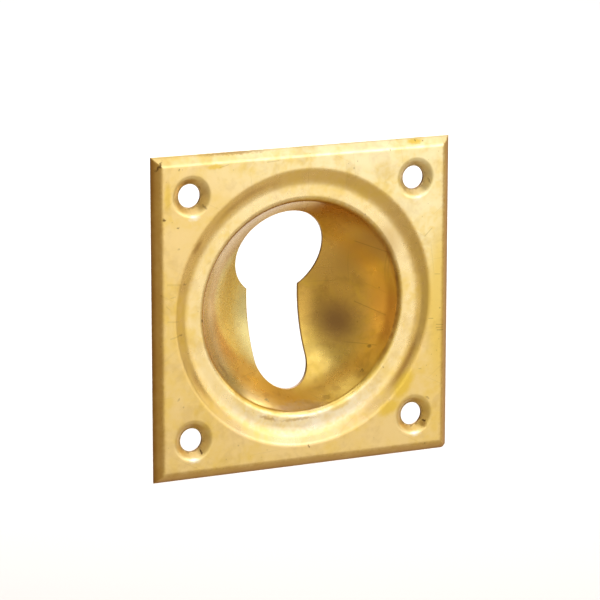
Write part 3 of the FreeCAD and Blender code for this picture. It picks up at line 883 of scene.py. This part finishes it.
def frontBrassMaterial():
    # The metal's colour with its painted light, then one coat over another: colour x (1 - mask) + the coat's
    # colour x mask.
    v, c, z = frontBrass, frontBrass["colours"], frontBrass["zones"]
    material, tree, position = newBrass("satinBrassFront")
    at = frontPlaces(tree, position)
    colour = metalColourWithPaintedLight(tree, at)

    # Thin straw tarnish in wide clouds, brown in smaller ones, and a painted dark reflection in the bowl.
    fineStraw = placed(tree, "patches", position, v["fineStraw"])
    straw = placed(tree, "patches", position, v["straw"])
    straw = product(tree, scaled(tree, fineStraw, *v["strawStrength"]), straw)
    straw = product(tree, straw, scaled(tree, at["leftBowl"], *v["strawInBowl"]))
    straw = largest(tree, straw, stainMask(tree, at["ragged"], "straw"))
    brownAmount = scaled(tree, at["deepBowl"], *v["brownStrength"])
    brown = product(tree, placed(tree, "patches", position, v["brown"]), brownAmount)
    brown = largest(tree, brown, stainMask(tree, at["ragged"], "brown"))
    colour = mixColours(tree, straw, colour, c["straw"])
    colour = mixColours(tree, brown, colour, c["brown"])
    colour = mixColours(tree, stainMask(tree, at["ragged"], "paintedBowlReflection"), colour, c["paintedBowlReflection"])

    # The sloping rim is browner than the face except along the top: painted shade on the slopes that face
    # down and sideways, most on the right, with patchy tarnish in it.
    clouds = placed(tree, "patches", position, v["clouds"])
    rightRim = product(tree, softStep(tree, at["across"], *z["rightRim"]), v["rightRimStrength"])
    rimAmount = mathNode(tree, "ADD", rightRim, scaled(tree, clouds, *v["rimStrength"]))
    rimAmount = product(tree, at["lowRim"], rimAmount)
    colour = mixColours(tree, rimAmount, colour, c["rimBrown"])
    # Painted shade in the creases and at the mouth, and dirt with painted shade along the outer edge.
    colour = mixColours(tree, creaseMask(tree, position, at, clouds, fineStraw), colour, c["crease"])

    # The seats of the screw holes, by the distance from the nearest hole's centre, and the dirt.
    screwAt = screwPlace()
    away = [mathNode(tree, "SUBTRACT", at[way], screwAt) for way in ("reachAcross", "reachUp")]
    corner = addNode(tree, "CombineXYZ", {"X": away[0], "Z": away[1]}).outputs[0]
    screwReach = vectorNode(tree, "LENGTH", corner)
    seat = product(tree, softStep(tree, screwReach, *z["seat"]), v["seatStrength"])
    colour = mixColours(tree, seat, colour, c["rimBrown"])
    dirt = dirtMask(tree, position, at, screwReach)
    colour = mixColours(tree, dirt, colour, c["dirt"])

    # The surface is duller where it is flat, tarnished, dirty or under the painted rim shade.
    tarnishAndRimShade = largest(tree, straw, brown, rimAmount)
    grain = mathNode(tree, "SUBTRACT", noiseLevel(tree, position, v["grainScale"], 1), 0.5)
    roughness = scaled(tree, at["flat"], v["satinRoughness"], v["roughness"])
    roughness = scaled(tree, tarnishAndRimShade, v["tarnishRoughness"], roughness)
    roughness = scaled(tree, dirt, v["dirtRoughness"], roughness)
    roughness = scaled(tree, grain, v["grainRoughness"], roughness)

    # Slow waves of the pressing, ripples and brush lines.
    height = product(tree, noiseLevel(tree, position, v["waveScale"], 2), v["waveHeight"])
    height = scaled(tree, noiseLevel(tree, position, v["rippleScale"], 1), v["rippleHeight"], height)
    height = scaled(tree, placed(tree, "brush", position, v["brushing"]), v["brushHeight"], height)
    finishBrass(tree, colour, scaled(tree, dirt, *v["dirtMetallic"]), roughness, height)
    return material


# The back and the cut edges: the same tarnish in other amounts, and no polish.
backBrass = {
    "base": (0.74, 0.50, 0.175, 1),
    "straw": (0.66, 0.43, 0.10, 1),
    "brown": (0.30, 0.17, 0.055, 1),
    "dirt": (0.10, 0.065, 0.03, 1),
    "roughness": 0.40,
    "strawCover": 0.55,
    "brownCover": 0.46,
    "brownStrength": 0.38,
    "lineHeight": 0.0015,
}
cutBrass = {
    "base": (0.50, 0.30, 0.09, 1),
    "straw": (0.60, 0.38, 0.12, 1),
    "brown": (0.24, 0.12, 0.035, 1),
    "dirt": (0.10, 0.06, 0.02, 1),
    "roughness": 0.38,
    "strawCover": 0.4,
    "brownCover": 0.55,
    "brownStrength": 0.8,
    "lineHeight": 0.002,
}
# What both have in common.
plainBrass = {
    "straw": {"Size": 7, "Softness": 0.12, "Seed": 21.0},
    "brown": {"Size": 6, "Softness": 0.2, "Seed": 27.0},
    "specks": {"Spacing": 2.2, "Size": 0.4, "Share": 0.3, "Seed": 4.0},
    "lines": {"Stretch": (0.2, 1.0, 3.5), "Seed": 2.0},
    "speckStrength": 0.6,
    "speckMetallic": (-0.4, 1),
    "brownRoughness": 0.15,
    "lineRoughness": 0.15,
    "waveScale": 0.2,
    "waveHeight": 0.04,
}


def plainBrassMaterial(name, v):
    # The base colour, then straw, brown and specks over it: colour x (1 - mask) + the coat's colour x mask.
    p = plainBrass
    material, tree, position = newBrass(name)
    straw = placed(tree, "patches", position, {**p["straw"], "Cover": v["strawCover"]})
    brown = placed(tree, "patches", position, {**p["brown"], "Cover": v["brownCover"]})
    brown = product(tree, brown, v["brownStrength"])
    specks = placed(tree, "specks", position, p["specks"])
    colour = mixColours(tree, straw, v["base"], v["straw"])
    colour = mixColours(tree, brown, colour, v["brown"])
    colour = mixColours(tree, product(tree, specks, p["speckStrength"]), colour, v["dirt"])
    lines = placed(tree, "brush", position, p["lines"])
    roughness = scaled(tree, brown, p["brownRoughness"], v["roughness"])
    roughness = scaled(tree, mathNode(tree, "SUBTRACT", lines, 0.5), p["lineRoughness"], roughness)
    waves = noiseLevel(tree, position, p["waveScale"], 3)
    height = scaled(tree, waves, p["waveHeight"], product(tree, lines, v["lineHeight"]))
    finishBrass(tree, colour, scaled(tree, specks, *p["speckMetallic"]), roughness, height)
    return material


# In the order of the finishes.
plate.data.materials.append(frontBrassMaterial())
plate.data.materials.append(plainBrassMaterial("dullBrassBack", backBrass))
plate.data.materials.append(plainBrassMaterial("cutBrassEdge", cutBrass))
print("brass made")

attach(plate, "root")
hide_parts("escutcheon_plate")

# The camera stands where the photograph was taken from, in metres and degrees.
cameraValues = {
    "place": (-0.23651, -0.49372, 0.12146),
    "turn": -25.55,
    "down": 12.38,
    "roll": -0.05,
    "lens": 182.9,  # these two in millimetres
    "sensor": 36,
    "nearest": 0.01,
}

camera = bpy.data.objects.new("camera", bpy.data.cameras.new("camera"))
bpy.context.collection.objects.link(camera)
bpy.context.scene.camera = camera
camera.data.lens = cameraValues["lens"]
camera.data.sensor_width = cameraValues["sensor"]
camera.data.clip_start = cameraValues["nearest"]
camera.location = cameraValues["place"]
camera.rotation_euler = (
    math.radians(90 - cameraValues["down"]),
    math.radians(cameraValues["roll"]),
    math.radians(cameraValues["turn"]),
)
print("camera set")

# The floor lies well below the plate, which hangs in the air as it would on its door. In metres.
stageValues = {
    "floorDrop": 0.25,  # from the middle of the plate
    "floorReach": 6.0,
    "floorColour": (0.56, 0.50, 0.40, 1),
    "floorRoughness": 0.9,
    "fillLight": (0.25, 0.215, 0.14, 1),
}

# Each soft panel stands some metres away, in a direction given by the angle round the plate from its front
# towards its right, and the angle above the level. Its glow is the brightness of its surface. Each row
# gives: around, above, away, size, glow, tint.
panelValues = {
    "frontPanel": (28, 25, 0.85, (0.75, 0.76), 1.30, (0.94, 1, 1.25)),
    "glintPanel": (30, 18, 0.80, (0.26, 0.18), 1.5, (0.92, 1, 1.4)),
    "lowPanel": (28, -9, 0.85, (0.75, 0.34), 0.95, (1, 1, 1.05)),
    "edgePanel": (-8, 8, 0.85, (0.30, 1.15), 0.66, (1, 0.98, 0.85)),
    "sidePanel": (76, 28, 0.85, (0.65, 0.70), 0.76, (1, 0.98, 0.92)),
    "lowSidePanel": (90, -2, 0.85, (1.0, 0.5), 0.47, (1, 0.94, 0.8)),
    "topPanel": (20, 66, 0.85, (0.9, 0.4), 1.2, (0.97, 1, 1.15)),
    "backPanel": (180, 75, 0.85, (0.9, 0.5), 0.65, (1, 0.98, 0.9)),
    "leftPanel": (-56, 12, 0.85, (1.0, 1.1), 0.36, (1, 0.88, 0.66)),
}
# A long panel over the floor behind the plate makes the ground of the picture pale.
floorPanelValues = {
    "around": 154.5,
    "out": 1.75,  # from the plate
    "over": 0.45,
    "size": (1.2, 2.6),
    "glow": 3.8,
    "tint": (0.9, 1, 1.3),
}


def direction(around, above):
    # Right = sin(around) cos(above), back = -cos(around) cos(above), up = sin(above).
    turn, rise = math.radians(around), math.radians(above)
    return Vector((math.sin(turn) * math.cos(rise), -math.cos(turn) * math.cos(rise), math.sin(rise)))


def softPanel(name, place, towards, size, glow, tint):
    # A lamp that the camera doesn't see. Its power is pi x width x height x glow.
    lamp = bpy.data.lights.new(name, "AREA")
    lamp.color = tint
    lamp.shape = "RECTANGLE"
    lamp.size, lamp.size_y = size
    lamp.energy = math.pi * size[0] * size[1] * glow
    panel = bpy.data.objects.new(name, lamp)
    bpy.context.collection.objects.link(panel)
    panel.location = place
    panel.rotation_euler = towards.to_track_quat("-Z", "Y").to_euler()
    panel.visible_camera = False
    return panel


for name, (around, above, away, size, glow, tint) in panelValues.items():
    heading = direction(around, above)
    softPanel(name, heading * away, -heading, size, glow, tint)
f = floorPanelValues
floorPanelPlace = direction(f["around"], 0) * f["out"] + Vector((0, 0, f["over"]))
floorPanel = softPanel("floorPanel", floorPanelPlace, Vector((0, 0, -1)), f["size"], f["glow"], f["tint"])
floorPanel.rotation_euler.z = math.radians(f["around"])

floorMesh = bpy.data.meshes.new("floor")
reach = stageValues["floorReach"]
corners = [(-reach, -reach), (reach, -reach), (reach, reach), (-reach, reach)]
floorMesh.from_pydata([(x, y, -stageValues["floorDrop"]) for x, y in corners], [], [(0, 1, 2, 3)])
floor = bpy.data.objects.new("floor", floorMesh)
bpy.context.collection.objects.link(floor)
paleFloor = bpy.data.materials.new("paleFloor")
paleFloor.use_nodes = True
paleShader = paleFloor.node_tree.nodes["Principled BSDF"]
paleShader.inputs["Base Color"].default_value = stageValues["floorColour"]
paleShader.inputs["Roughness"].default_value = stageValues["floorRoughness"]
paleShader.inputs["Specular IOR Level"].default_value = 0
floorMesh.materials.append(paleFloor)

world = bpy.data.worlds.new("studio")
bpy.context.scene.world = world
world.use_nodes = True
world.node_tree.nodes["Background"].inputs["Color"].default_value = stageValues["fillLight"]
bpy.context.scene.view_settings.view_transform = "Standard"
print("stage and light set")
